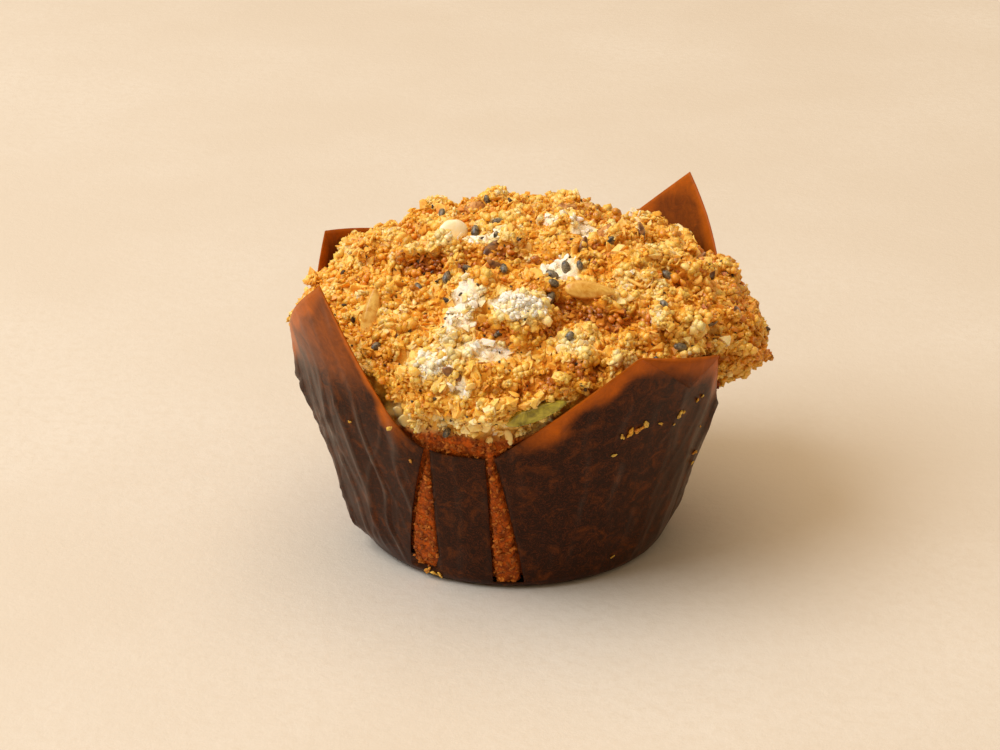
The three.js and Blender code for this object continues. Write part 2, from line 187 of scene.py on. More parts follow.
class MuffinView(bpy.types.PropertyGroup):
    """The photo's camera and the light on the stage."""

    field: FloatProperty(name="Field of view", description="Width of the camera's view",
                         default=math.radians(22), subtype="ANGLE")
    elevation: FloatProperty(name="Elevation", description="How far the camera looks down",
                             default=math.radians(23), subtype="ANGLE")
    distance: FloatProperty(name="Distance", description="From the camera to the middle of the muffin",
                            default=462.6 * MM, unit="LENGTH")
    floor: FloatVectorProperty(name="Floor", description="Colour of the floor", subtype="COLOR", size=3,
                               default=(0.725, 0.64, 0.53))


TARGET = np.array((-2.7, 0.0, 29.0)) * MM
PHOTO_SIZE = (1000, 750)


def deselect_all():
    bpy.ops.object.select_all(action="DESELECT")


def activate(piece):
    deselect_all()
    piece.select_set(True)
    bpy.context.view_layer.objects.active = piece


def shaped(add, name, *steps, **sizes):
    """Adds a primitive, runs the steps on it in edit mode with all of it selected, and returns it."""
    deselect_all()
    add(**sizes)
    piece = bpy.context.active_object
    piece.name = name
    piece.data.name = name
    bpy.ops.object.mode_set(mode="EDIT")
    bpy.ops.mesh.select_all(action="SELECT")
    for step in steps:
        step()
    bpy.ops.object.mode_set(mode="OBJECT")
    return piece


def apply_modifier(piece, kind, **settings):
    modifier = piece.modifiers.new(kind.title(), kind)
    for key, value in settings.items():
        setattr(modifier, key, value)
    activate(piece)
    bpy.ops.object.modifier_apply(modifier=modifier.name)


def read(collection, name, width=3, kind=np.float64):
    """One property of all of a mesh's elements as an array."""
    flat = np.empty(len(collection) * width, kind)
    collection.foreach_get(name, flat)
    return flat.reshape(-1, width) if width > 1 else flat


def move_points(mesh, points):
    mesh.vertices.foreach_set("co", np.asarray(points, np.float32).ravel())
    mesh.update()


def give(mesh, name, values):
    """Stores one value for each vertex."""
    attribute = mesh.attributes.new(name, "FLOAT", "POINT")
    attribute.data.foreach_set("value", np.asarray(values, np.float32))


def finish_piece(piece, body="root", smooth=True, nodes=()):
    activate(piece)
    if smooth:
        bpy.ops.object.shade_smooth()
    else:
        bpy.ops.object.shade_flat()
    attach(piece, body)
    if nodes:
        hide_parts(*nodes)


def smoothstep(low, high, values):
    share = np.clip((values - low) / (high - low), 0, 1)
    return share * share * (3 - 2 * share)


def near(azimuth, other):
    return azimuth - 360 * np.round((azimuth - other) / 360)


def azimuth_of(points):
    return np.degrees(np.arctan2(points[:, 0], -points[:, 1]))


def noise_offset(seed):
    """Where the noise for a seed starts."""
    return Vector((seed * 7.3, seed * 3.1, seed * 5.7))


def noise_field(points, size, seed):
    """Soft noise from about -1 to 1 at points, with features of a size."""
    offset = noise_offset(seed)
    return np.array([noise.noise(Vector(p) / size + offset) for p in points])


def cell_field(points, size, seed):
    """Rounded cells: 0 in the seams between them, and up to about 1 in their middles."""
    noise.seed_set(3)
    offset = noise_offset(seed)
    bend = 0.35
    values = np.empty(len(points))
    for k, p in enumerate(points):
        at = Vector(p) / size + offset
        at += bend * noise.noise_vector(at * 1.7)
        first, second = noise.voronoi(at)[0][:2]
        values[k] = second - first
    return np.sqrt(np.clip(values, 0, 1))


# Sizes of the case, as functions of azimuth and height in metres.


def wall_radius(height):
    paper = bpy.context.scene.muffin_paper
    return paper.foot_radius + paper.flare * height


def flank(petal, azimuth):
    away = near(azimuth, petal["azimuth"]) - petal["azimuth"]
    reach = np.where(away < 0, petal["before"][0], petal["after"][0])
    curve = np.where(away < 0, petal["before"][1], petal["after"][1])
    return np.clip(1 - np.abs(away) / reach, 0, None) ** curve


def fold_height(azimuth):
    (start, low), (end, high) = FOLD["from"], FOLD["to"]
    share = (near(azimuth, start) - start) / (end - start)
    return (low + (high - low) * share) * MM


def edge_height(azimuth):
    """The height of the paper's edge at azimuths."""
    azimuth = np.asarray(azimuth, float)
    first = PETALS[0]["azimuth"]
    around = np.mod(azimuth - first, 360)
    starts = [petal["azimuth"] - first for petal in PETALS]
    side = np.searchsorted(starts, around, side="right") - 1
    height = np.zeros_like(azimuth)
    for k, petal in enumerate(PETALS):
        following = PETALS[(k + 1) % 4]
        here = [DIPS[k] + (p["tip"] - DIPS[k]) * flank(p, azimuth) for p in (petal, following)]
        height = np.where(side == k, np.maximum(*here), height)
    height = height * MM
    folded = np.abs(near(azimuth, PETALS[1]["azimuth"]) - PETALS[1]["azimuth"]) < 22
    return np.where(folded, np.minimum(height, fold_height(azimuth)), height)


def slits():
    """Every slit as azimuth and opening at its top and at its foot, in order round the case."""
    found = []
    for centre, way in SIDE_TURNS:
        side = [(centre + way * top, centre + way * foot, wide_top, wide_foot)
                for top, foot, wide_top, wide_foot in FRONT_SLITS]
        found += side[::way]
    return found


def slit_depth(points):
    """How far inside the nearest slit points lie, in metres across it, and below 0 outside the slits."""
    azimuth = azimuth_of(points)
    climb = np.clip(points[:, 2] / (0.97 * edge_height(azimuth)), 0, 1)
    deepest = np.full(len(points), -1.0)
    for top, foot, wide_top, wide_foot in slits():
        centre = foot + (top - foot) * climb
        half = (wide_foot + (wide_top - wide_foot) * climb) / 2
        inside = half - np.abs(near(azimuth, centre) - centre)
        deepest = np.maximum(deepest, np.radians(inside))
    return deepest * wall_radius(points[:, 2])


def photo_frame():
    """The camera's place and its right, up and forward directions."""
    view = bpy.context.scene.muffin_view
    forward = np.array((0, math.cos(view.elevation), -math.sin(view.elevation)))
    right = np.array((1.0, 0, 0))
    return TARGET - view.distance * forward, right, np.cross(right, forward), forward


def photo_ray(x, y):
    """The camera's place and the direction of a pixel of the photo."""
    place, right, up, forward = photo_frame()
    focal = PHOTO_SIZE[0] / 2 / math.tan(bpy.context.scene.muffin_view.field / 2)
    across = (x - PHOTO_SIZE[0] / 2) / focal
    down = (y - PHOTO_SIZE[1] / 2) / focal
    direction = forward + right * across - up * down
    return place, direction / np.linalg.norm(direction)


class Skin:
    """A piece's surface as arrays, for laying things on it."""

    def __init__(self, piece):
        mesh = piece.data
        mesh.calc_loop_triangles()
        self.points = read(mesh.vertices, "co")
        self.normals = read(mesh.vertices, "normal")
        self.triangles = read(mesh.loop_triangles, "vertices", 3, np.int32)
        self.tree = BVHTree.FromPolygons(self.points.tolist(), self.triangles.tolist())

    def sample(self, draw, count, weight):
        """Random places spread by area and by a weight for each vertex, with what blends values there."""
        a, b, c = (self.points[self.triangles[:, k]] for k in range(3))
        area = np.linalg.norm(np.cross(b - a, c - a), axis=1) * weight[self.triangles].mean(axis=1)
        chosen = draw.choice(len(area), count, p=area / area.sum())
        share = np.sqrt(draw.random(count))
        along = draw.random(count)
        shares = np.stack([1 - share, share * (1 - along), share * along], 1)
        corners = self.triangles[chosen]

        def blend(values):
            return np.einsum("kc...,kc->k...", values[corners], shares)

        normals = blend(self.normals)
        return blend(self.points), normals / np.linalg.norm(normals, axis=1)[:, None], blend

    def hides(self, place):
        """Whether the surface hides a place from the photo's camera."""
        eye = photo_frame()[0]
        away = np.linalg.norm(place - eye)
        return self.tree.ray_cast(Vector(eye), Vector((place - eye) / away), away)[0] is not None

    def at_pixel(self, x, y):
        """The place and the normal of the skin at a pixel of the photo, or None beside it."""
        place, normal, _, _ = self.tree.ray_cast(*(Vector(v) for v in photo_ray(x, y)))
        return (np.array(place), np.array(normal)) if place else None


def mesh_arrays(piece):
    """A prototype's points and triangles, and the piece removed."""
    piece.data.calc_loop_triangles()
    arrays = read(piece.data.vertices, "co"), read(piece.data.loop_triangles, "vertices", 3, np.int32)
    bpy.data.objects.remove(piece)
    return arrays


def stamped(name, shapes, places, normals, sizes, values, draw, lean=0.3, turns=None):
    """Copies of the shapes, one at each place, joined to one mesh with named values for each copy."""
    count = len(places)
    tilt = normals + lean * draw.normal(size=(count, 3))
    tilt /= np.linalg.norm(tilt, axis=1)[:, None]
    sideways = np.where(np.abs(tilt[:, :1]) < 0.9, (1.0, 0, 0), (0, 1.0, 0))
    level = sideways - np.einsum("kc,kc->k", sideways, tilt)[:, None] * tilt
    level /= np.linalg.norm(level, axis=1)[:, None]
    rise = np.cross(tilt, level)
    turn = draw.random(count) * 2 * math.pi if turns is None else np.radians(turns)
    along = level * np.cos(turn)[:, None] + rise * np.sin(turn)[:, None]
    basis = np.stack([along, np.cross(tilt, along), tilt], 1)
    choice = np.arange(count) % len(shapes)
    points, faces, owners, start = [], [], [], 0
    for k, (shape, triangles) in enumerate(shapes):
        mine = np.flatnonzero(choice == k)
        placed = np.einsum("vi,ki,kij->kvj", shape, sizes[mine], basis[mine]) + places[mine][:, None]
        points.append(placed.reshape(-1, 3))
        offsets = start + len(shape) * np.arange(len(mine))
        faces.append((triangles[None] + offsets[:, None, None]).reshape(-1, 3))
        owners.append(np.repeat(mine, len(shape)))
        start += len(shape) * len(mine)
    points, faces, owners = np.concatenate(points), np.concatenate(faces), np.concatenate(owners)
    mesh = bpy.data.meshes.new(name)
    mesh.vertices.add(len(points))
    mesh.loops.add(faces.size)
    mesh.polygons.add(len(faces))
    mesh.vertices.foreach_set("co", points.astype(np.float32).ravel())
    mesh.loops.foreach_set("vertex_index", faces.astype(np.int32).ravel())
    mesh.polygons.foreach_set("loop_start", np.arange(0, faces.size, 3, dtype=np.int32))
    mesh.update(calc_edges=True)
    for key, one_each in values.items():
        give(mesh, key, np.asarray(one_each)[owners])
    piece = bpy.data.objects.new(name, mesh)
    bpy.context.scene.collection.objects.link(piece)
    return piece


# Prototypes, a unit long, of what lies on the crust.


def ball_shapes(count, detail, jitter, flat=1.0, seed=0):
    """Ragged balls, each with its own dents."""
    made = []
    for k in range(count):
        def dent():
            bpy.ops.transform.vertex_random(offset=jitter, uniform=0.2, seed=seed + k)

        piece = shaped(bpy.ops.mesh.primitive_ico_sphere_add, "prototype", dent, subdivisions=detail,
                       radius=0.5)
        points, triangles = mesh_arrays(piece)
        made.append((points * (1, 1, flat), triangles))
    return made


def clump_shapes(count, balls, seed):
    """Clumps of balls that have baked together, each less than a unit across."""
    draw = np.random.default_rng(seed)
    singles = ball_shapes(count * balls, 1, 0.2, seed=seed)
    made = []
    for k in range(count):
        points, triangles, start = [], [], 0
        for ball, faces in singles[k * balls:(k + 1) * balls]:
            size = draw.uniform(0.4, 0.65)
            points.append(ball * size + draw.uniform(-0.3, 0.3, 3) * (1, 0.8, 0.5))
            triangles.append(faces + start)
            start += len(ball)
        made.append((np.concatenate(points), np.concatenate(triangles)))
    return made


def curled_shapes(count, seed):
    """Thin flakes that curl up along one side."""
    draw = np.random.default_rng(seed)
    made = []
    for points, triangles in ball_shapes(count, 2, 0.1, 0.28, seed):
        curl = draw.uniform(0.3, 1.1)
        lifted = points + UP * (curl * points[:, :1] ** 2 + 0.3 * points[:, :1] * points[:, 1:2])
        made.append((lifted, triangles))
    return made


def seed_shape(segments, rings, taper, ridges=0, flat=1.0):
    """An oval seed that narrows to a point at one end, with ridges along it."""
    piece = shaped(bpy.ops.mesh.primitive_uv_sphere_add, "prototype", segments=segments,
                   ring_count=rings, radius=0.5)
    points, triangles = mesh_arrays(piece)
    points = points[:, [2, 0, 1]]
    narrow = 1 - taper * (points[:, 0] + 0.5)
    angle = np.arctan2(points[:, 2], points[:, 1])
    ribs = 1 + 0.07 * np.cos(ridges * angle) * (ridges > 0)
    points[:, 1:] *= (narrow * ribs)[:, None]
    points[:, 2] *= flat
    return points, triangles


def pumpkin_shape():
    """A flat seed with a raised rim and a pointed end."""
    points, triangles = seed_shape(32, 18, 0.35)
    across = np.hypot(points[:, 0] / 0.5, points[:, 1] / 0.42)
    rim = np.exp(-((across - 0.86) / 0.07) ** 2)
    points[:, 2] *= 0.9 + 0.35 * rim - 0.25 * (across < 0.75)
    return points, triangles


# Materials. A group puts out colours, masks and heights, and each material keeps its own shader.


def add_node(tree, kind, **settings):
    node = tree.nodes.new(kind)
    for key, value in settings.items():
        if key in node.inputs.keys():
            node.inputs[key].default_value = value
        else:
            setattr(node, key, value)
    return node


def new_group(name, inputs, outputs):
    """A node group with float inputs, given as name and default, and outputs given as name and kind."""
    group = bpy.data.node_groups.new(name, "ShaderNodeTree")
    for label, default in inputs.items():
        socket = group.interface.new_socket(label, in_out="INPUT", socket_type="NodeSocketFloat")
        socket.default_value = default
    for label, kind in outputs.items():
        group.interface.new_socket(label, in_out="OUTPUT", socket_type=kind)
    return group, group.nodes.new("NodeGroupInput"), group.nodes.new("NodeGroupOutput")


def add_noise(tree, scale, detail=4.0, roughness=0.6, distortion=0.0):
    """A noise texture on object coordinates; the scale is a number or a socket."""
    place = add_node(tree, "ShaderNodeTexCoord")
    made = add_node(tree, "ShaderNodeTexNoise", Detail=detail, Roughness=roughness, Distortion=distortion)
    tree.links.new(place.outputs["Object"], made.inputs["Vector"])
    if isinstance(scale, (int, float)):
        made.inputs["Scale"].default_value = scale
    else:
        tree.links.new(scale, made.inputs["Scale"])
    return made.outputs["Fac"]


def math_node(tree, operation, *values, clamp=False):
    node = add_node(tree, "ShaderNodeMath", operation=operation, use_clamp=clamp)
    for socket, value in zip(node.inputs, values):
        if isinstance(value, (int, float)):
            socket.default_value = value
        else:
            tree.links.new(value, socket)
    return node.outputs[0]


def mask_node(tree, value, low, gain):
    """How far a value is above a low one, times a gain, held from 0 to 1."""
    return math_node(tree, "MULTIPLY", math_node(tree, "SUBTRACT", value, low), gain, clamp=True)


def ramp_node(tree, factor, stops):
    ramp = add_node(tree, "ShaderNodeValToRGB")
    while len(ramp.color_ramp.elements) < len(stops):
        ramp.color_ramp.elements.new(0.5)
    for element, (position, colour) in zip(ramp.color_ramp.elements, stops):
        element.position = position
        element.color = (*colour, 1)
    tree.links.new(factor, ramp.inputs["Fac"])
    return ramp.outputs["Color"]


def mix_node(tree, factor, first, second):
    node = add_node(tree, "ShaderNodeMix", data_type="RGBA")
    for label, value in (("Factor_Float", factor), ("A_Color", first), ("B_Color", second)):
        socket = next(s for s in node.inputs if s.identifier == label)
        if isinstance(value, (int, float)):
            socket.default_value = value
        elif isinstance(value, tuple):
            socket.default_value = (*value, 1)
        else:
            tree.links.new(value, socket)
    return next(s for s in node.outputs if s.identifier == "Result_Color")


def value_of(tree, name):
    return add_node(tree, "ShaderNodeAttribute", attribute_name=name).outputs["Fac"]


BAKED_TONES = (
    (0.0, srgb(142, 68, 12)),
    (0.2, srgb(206, 120, 22)),
    (0.4, srgb(240, 164, 42)),
    (0.6, srgb(253, 196, 86)),
    (0.8, srgb(255, 221, 146)),
    (1.0, srgb(255, 242, 218)),
)


# How far red, green and blue light goes into baked dough, as shares.
DOUGH_GLOW = (1.0, 0.7, 0.35)


def baked_tone_group():
    """Colours from deep orange-brown through gold to cream, by a tone from 0 to 1 with fine mottling."""
    group, given, out = new_group("Baked Tone", {"Tone": 0.5, "Scale": 900.0, "Amount": 0.2},
                                  {"Color": "NodeSocketColor"})
    mottle = math_node(group, "SUBTRACT", add_noise(group, given.outputs["Scale"]), 0.5)
    shift = math_node(group, "MULTIPLY", mottle, given.outputs["Amount"])
    tone = math_node(group, "ADD", given.outputs["Tone"], shift, clamp=True)
    group.links.new(ramp_node(group, tone, BAKED_TONES), out.inputs["Color"])
    return group


def crumb_relief_group():
    """Heights of porous crumb: grains with fine pits."""
    group, given, out = new_group("Crumb Relief", {"Scale": 1200.0}, {"Height": "NodeSocketFloat"})
    coarse = add_noise(group, given.outputs["Scale"], 6.0, 0.7)
    fine = add_noise(group, math_node(group, "MULTIPLY", given.outputs["Scale"], 3.1), 3.0)
    height = math_node(group, "MULTIPLY_ADD", fine, 0.4, coarse)
    group.links.new(height, out.inputs["Height"])
    return group


def paper_fibre_group():
    """Blotches and thin threads of baking paper."""
    group, given, out = new_group("Paper Fibre", {"Scale": 420.0},
                                  {"Mottle": "NodeSocketFloat", "Threads": "NodeSocketFloat"})
    mottle = add_noise(group, given.outputs["Scale"], 9.0, 0.72, 0.8)
    tangle = add_noise(group, math_node(group, "MULTIPLY", given.outputs["Scale"], 2.2), 2.0, 0.5, 2.5)
    away = math_node(group, "ABSOLUTE", math_node(group, "SUBTRACT", tangle, 0.5))
    threads = math_node(group, "SUBTRACT", 1.0, math_node(group, "MULTIPLY", away, 28.0), clamp=True)
    group.links.new(mottle, out.inputs["Mottle"])
    group.links.new(threads, out.inputs["Threads"])
    return group


def use_group(tree, name, **values):
    node = add_node(tree, "ShaderNodeGroup", node_tree=bpy.data.node_groups[name])
    for key, value in values.items():
        if isinstance(value, (int, float)):
            node.inputs[key].default_value = value
        else:
            tree.links.new(value, node.inputs[key])
    return node.outputs


def new_material(name, **sockets):
    """A material with its shader's plain values set, and its node tree."""
    made = bpy.data.materials.new(name)
    made.use_nodes = True
    shader = made.node_tree.nodes["Principled BSDF"]
    for key, value in sockets.items():
        shader.inputs[key.replace("_", " ")].default_value = value
    return made, made.node_tree, shader


def set_bump(tree, shader, height, strength, distance):
    bump = add_node(tree, "ShaderNodeBump", Strength=strength, Distance=distance)
    tree.links.new(height, bump.inputs["Height"])
    tree.links.new(bump.outputs["Normal"], shader.inputs["Normal"])


def baked_material(name, scale, amount, roughness, gloss=0.0, glow=0.4):
    """Baked dough whose tone comes from the piece's own values."""
    made, tree, shader = new_material(name, Roughness=roughness, Subsurface_Weight=glow,
                                      Subsurface_Radius=DOUGH_GLOW, Subsurface_Scale=1.2 * MM,
                                      Coat_Weight=gloss, Coat_Roughness=0.25)
    colour = use_group(tree, "Baked Tone", Tone=value_of(tree, "tone"), Scale=scale, Amount=amount)["Color"]
    tree.links.new(colour, shader.inputs["Base Color"])
    relief = use_group(tree, "Crumb Relief", Scale=scale * 1.6)["Height"]
    set_bump(tree, shader, relief, 0.35, 0.25 * MM)
    return made


def crust_material():
    """Crust above and bare orange-brown crumb below, by the piece's crust value."""
    made, tree, shader = new_material("crust", Roughness=0.7, Specular_IOR_Level=0.2,
                                      Subsurface_Weight=0.15, Subsurface_Radius=DOUGH_GLOW,
                                      Subsurface_Scale=1.2 * MM)
    tone = use_group(tree, "Baked Tone", Tone=value_of(tree, "tone"), Scale=520.0, Amount=0.45)["Color"]
    side = tuple(bpy.context.scene.muffin_crust.side)
    # Dark spots on the bare crumb: painted shade standing in for its pores.
    pores = add_noise(tree, 700.0, 8.0, 0.7)
    dark = tuple(0.35 * c for c in side)
    bare = mix_node(tree, mask_node(tree, pores, 0.42, 5.0), dark, side)
    colour = mix_node(tree, value_of(tree, "crust"), bare, tone)
    tree.links.new(colour, shader.inputs["Base Color"])
    relief = use_group(tree, "Crumb Relief", Scale=900.0)["Height"]
    set_bump(tree, shader, relief, 0.8, 0.5 * MM)
    return made


def seed_material(name, dark, light, scale, roughness, gloss):
    """A seed's coat, marbled between two colours."""
    made, tree, shader = new_material(name, Roughness=roughness, Specular_IOR_Level=0.3,
                                      Coat_Weight=gloss, Coat_Roughness=0.15)
    marble = add_noise(tree, scale, 5.0, 0.65, 1.0)
    colour = mix_node(tree, mask_node(tree, marble, 0.38, 4.0), dark, light)
    tree.links.new(colour, shader.inputs["Base Color"])
    set_bump(tree, shader, marble, 0.25, 0.15 * MM)
    return made


def paper_material(name, inner):
    """Baking paper: dark where it is soaked, orange-brown along the edges and pale on the creases.
    The orange-brown is drier paper with a painted glow of light shining through it, and the pale
    creases are wear with a painted sheen.
    """
    paper = bpy.context.scene.muffin_paper
    made, tree, shader = new_material(name, Roughness=0.5 if inner else 0.34, Specular_IOR_Level=0.16)
    fibre = use_group(tree, "Paper Fibre", Scale=330.0)
    soaked = tuple(paper.soaked)
    dry_and_backlit = tuple(paper.dry_and_backlit)
    shade = 0.78 if inner else 1

    def mottled(colour, low, high):
        ends = (tuple(share * c for c in colour) for share in (low, high))
        return mix_node(tree, fibre["Mottle"], *ends)

    dark = mottled(soaked, 0.75, 1.1)
    # The lighter edge colour is partly drier paper and partly a painted glow of light shining through the
    # sheet.
    light = mottled(dry_and_backlit, 0.7 * shade, 1.25 * shade)
    ragged = math_node(tree, "MULTIPLY_ADD", math_node(tree, "SUBTRACT", fibre["Mottle"], 0.5), 0.9,
                       value_of(tree, "dry_and_backlit"))
    level = math_node(tree, "ADD", ragged, 0.0, clamp=True)
    colour = mix_node(tree, level, dark, light)
    threads = math_node(tree, "MULTIPLY", fibre["Threads"], 0.22)
    colour = mix_node(tree, threads, colour, srgb(156, 72, 26))
    # Pale grey on the creases: partly wear, partly a painted sheen of light along the ridges.
    wear_and_sheen = math_node(tree, "MULTIPLY", value_of(tree, "wear_and_sheen"), 0.2 if inner else 0.5)
    colour = mix_node(tree, wear_and_sheen, colour, srgb(118, 96, 76))
    shine = math_node(tree, "MULTIPLY_ADD", value_of(tree, "wear_and_sheen"), 0.6, 0.1)
    tree.links.new(shine, shader.inputs["Specular IOR Level"])
    tree.links.new(colour, shader.inputs["Base Color"])
    set_bump(tree, shader, fibre["Mottle"], 0.35, 0.12 * MM)
    return made


def floor_material():
    made, tree, shader = new_material("floor", Roughness=0.75, Specular_IOR_Level=0.25)
    cloud = add_noise(tree, 9.0, 6.0, 0.6)
    grain = add_noise(tree, 420.0, 6.0, 0.7)
    colour = tuple(bpy.context.scene.muffin_view.floor)
    deeper = tuple(c * k for c, k in zip(colour, (0.92, 0.89, 0.85)))
    patchy = mix_node(tree, mask_node(tree, cloud, 0.42, 3.0), deeper, colour)
    speckled = mix_node(tree, mask_node(tree, grain, 0.45, 4.0), patchy, deeper)
    tree.links.new(speckled, shader.inputs["Base Color"])
    set_bump(tree, shader, grain, 0.45, 0.4 * MM)
    return made


def make_groups():
    baked_tone_group()
    crumb_relief_group()
    paper_fibre_group()


# The crust and the crumb under it.


def crag_lift(points):
    """How far crags stand over or under the crust at points: cells of two sizes and fine grain."""
    big = cell_field(points, 9 * MM, 1)
    small = cell_field(points, 3.6 * MM, 2)
    grains = cell_field(points, 1.5 * MM, 3)
    return (2.0 * (big - 0.6) + 1.3 * (small - 0.6) + 0.5 * (grains - 0.6)) * MM


def distance_to_path(points, path):
    """The distance of points from a path of straight stretches."""
    nearest = np.full(len(points), np.inf)
    for a, b in zip(path[:-1], path[1:]):
        along = b - a
        share = np.clip((points - a) @ along / max(along @ along, 1e-12), 0, 1)
        nearest = np.minimum(nearest, np.linalg.norm(points - a - share[:, None] * along, axis=1))
    return nearest


def crust_values(points):
    """Where the skin is crust, free of the paper, bare crumb in the open, and in a slit."""
    azimuth = azimuth_of(points)
    radius = np.hypot(points[:, 0], points[:, 1])
    wall = wall_radius(points[:, 2])
    edge = edge_height(azimuth)
    ragged = 1.0 * MM * noise_field(points, 4 * MM, 5)
    over = smoothstep(-0.2 * MM, 0.6 * MM, radius - wall + ragged)
    high = smoothstep(32.4 * MM, 33.4 * MM, points[:, 2] + ragged)
    crust = np.maximum(over, high)
    behind = (points[:, 2] < edge - 0.3 * MM) & (radius > wall - 2.2 * MM) & (radius < wall + 0.2 * MM)
    slit = smoothstep(0.1 * MM, 0.6 * MM, slit_depth(points)) * (radius > 22 * MM)
    free = np.maximum(~behind, slit > 0.5)
    bare = (1 - crust) * np.maximum(slit, ~behind & (radius > wall - 3 * MM))
    return crust, free.astype(float), bare, slit


class MUFFIN_OT_crust(bpy.types.Operator):
    """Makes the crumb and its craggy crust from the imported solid"""

    bl_idname = "muffin.crust"
    bl_label = "Crumb and crust"

    def execute(self, context):
        piece = self.remeshed(context.scene.muffin_crust.voxel)
        skin = Skin(piece)
        points = skin.points
        crust, free, bare, slit = crust_values(points)
        lift, crevice_shade = self.crags(skin)
        pale, rim = self.pale(skin), self.rim(points)
        lift += 0.6 * MM * np.maximum(pale, rim) * noise_field(points, 1.5 * MM, 12)
        lift = np.where(free > 0.5, lift, np.minimum(lift, -0.1 * MM))
        pores = 0.3 * MM * noise_field(points, 1.3 * MM, 7)
        swell = 0.85 * MM * slit
        side = np.where(bare > 0.5, swell + pores, np.minimum(pores - 0.2 * MM, 0))
        moved = points + skin.normals * (crust * lift + (1 - crust) * side)[:, None]
        low, high = np.array(cad_box)
        move_points(piece.data, np.clip(moved, low + 0.1 * MM, high - 0.1 * MM))
        hollow = np.clip(0.5 - lift / (2.2 * MM), 0, 1)
        tone = self.tone(points, hollow, crevice_shade, pale, rim)
        values = {"crust": crust, "free": free, "bare": bare, "hollow": hollow,
                  "pale": np.maximum(pale, 0.5 * rim), "tone": tone}
        for name, value in values.items():
            give(piece.data, name, value)
        piece.data.materials.append(crust_material())
        finish_piece(piece, nodes=("muffin_crumb",))
        return {"FINISHED"}

    def remeshed(self, voxel):
        """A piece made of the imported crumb, with an even mesh."""
        piece = bpy.data.objects.new("crust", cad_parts["muffin_crumb"].data.copy())
        bpy.context.scene.collection.objects.link(piece)
        piece.data.materials.clear()
        activate(piece)
        bpy.ops.object.mode_set(mode="EDIT")
        bpy.ops.mesh.select_all(action="SELECT")
        bpy.ops.mesh.remove_doubles(threshold=0.001 * MM)
        bpy.ops.object.mode_set(mode="OBJECT")
        self.press_tip(piece.data)
        apply_modifier(piece, "REMESH", mode="VOXEL", voxel_size=voxel)
        apply_modifier(piece, "SMOOTH", factor=0.5, iterations=4)
        return piece

    def crags(self, skin):
        """How far the crust stands out, and how much painted shade darkens its crevices."""
        points = skin.points
        lift = crag_lift(points) - 0.6 * MM
        crevice_shade = np.zeros(len(points))
        for path in CREVICES:
            found = [skin.at_pixel(x, y) for x, y in path]
            away = distance_to_path(points, np.array([f[0] for f in found if f]))
            wobble = 0.8 * MM * noise_field(points, 2.5 * MM, 6)
            near_by = 1 - smoothstep(0.6 * MM, 3.0 * MM, away + wobble)
            lift -= 1.5 * MM * near_by
            # Painted shade: besides being lowered, the crevices get a darker tone.
            crevice_shade = np.maximum(crevice_shade, near_by)
        for x, y, radius, height in CLUMPS:
            centre = skin.at_pixel(x, y)[0]
            away = np.linalg.norm(points - centre, axis=1)
            lift += height * MM * (1 - smoothstep(0.55, 1.0, away / (radius * MM)))
        return lift, crevice_shade

    def press_tip(self, mesh):
        """Presses a seed's tip into the dome."""
        points = read(mesh.vertices, "co")
        x, y, reach, height = np.array(STRAY_TIP) * MM
        near_by = np.hypot(points[:, 0] - x, points[:, 1] - y) < reach
        points[:, 2] = np.where(near_by, np.minimum(points[:, 2], height), points[:, 2])
        move_points(mesh, points)

    def pale(self, skin):
        """How floury the crust is, from 0 to 1."""
        pale = np.zeros(len(skin.points))
        rough = 1.6 * MM * noise_field(skin.points, 2.2 * MM, 10)
        for x, y, radius in PALE_PATCHES:
            hit = skin.at_pixel(x, y)
            if hit:
                away = np.linalg.norm(skin.points - hit[0], axis=1) + rough
                pale = np.maximum(pale, 1 - smoothstep(0.6 * radius * MM, radius * MM, away))
        return pale

    def rim(self, points):
        """Where the crust ends in a smooth lip of pale dough, low over the front tongue."""
        ragged = 0.8 * MM * noise_field(points, 5 * MM, 11)
        low = 1 - smoothstep(36 * MM, 38.5 * MM, points[:, 2] + ragged)
        return low * (1 - smoothstep(26, 40, np.abs(azimuth_of(points) + 6)))

    def tone(self, points, hollow, crevice_shade, pale, rim):
        """How pale the crust is: painted shade in its hollows and crevices, paler crags as painted
        highlight, and cream on the floury patches and the lip.
        """
        # Painted shade and highlight: darker where the crust is hollow, paler where it stands out.
        tone = 0.74 - 0.6 * (np.maximum(hollow, 0.2) - 0.45) + 0.16 * noise_field(points, 8 * MM, 8)
        tone += 0.16 * noise_field(points, 3 * MM, 9)
        # Painted shade in the crevices.
        tone -= 0.25 * crevice_shade
        # Painted shade: darker towards +X, the side turned away from the key light.
        tone -= 0.08 * smoothstep(20 * MM, 45 * MM, points[:, 0])
        tone = tone * (1 - rim) + rim * (0.68 + 0.12 * noise_field(points, 2 * MM, 13))
        tone = tone * (1 - pale) + pale * 0.95
        return np.clip(tone, 0.02, 1)


def crust_skin():
    """The finished crust's surface with its values."""
    mesh = bpy.data.objects["crust"].data
    skin = Skin(bpy.data.objects["crust"])
    values = {name: read(mesh.attributes[name].data, "value", 1, np.float32)
              for name in ("crust", "free", "bare", "hollow", "pale", "tone")}
    return skin, values


def within_box(places, reach):
    """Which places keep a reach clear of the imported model's box."""
    low, high = np.array(cad_box)
    return ((places - reach > low) & (places + reach < high)).all(axis=1)


def beside_seeds(places, gap):
    """Which places are further than a gap from the seeds."""
    names = ("kernels", "green_seeds", "creamy_lumps", "dark_seeds")
    trees = [Skin(bpy.data.objects[name]).tree for name in names]
    return np.array([all(tree.find_nearest(Vector(p), gap)[0] is None for tree in trees) for p in places])


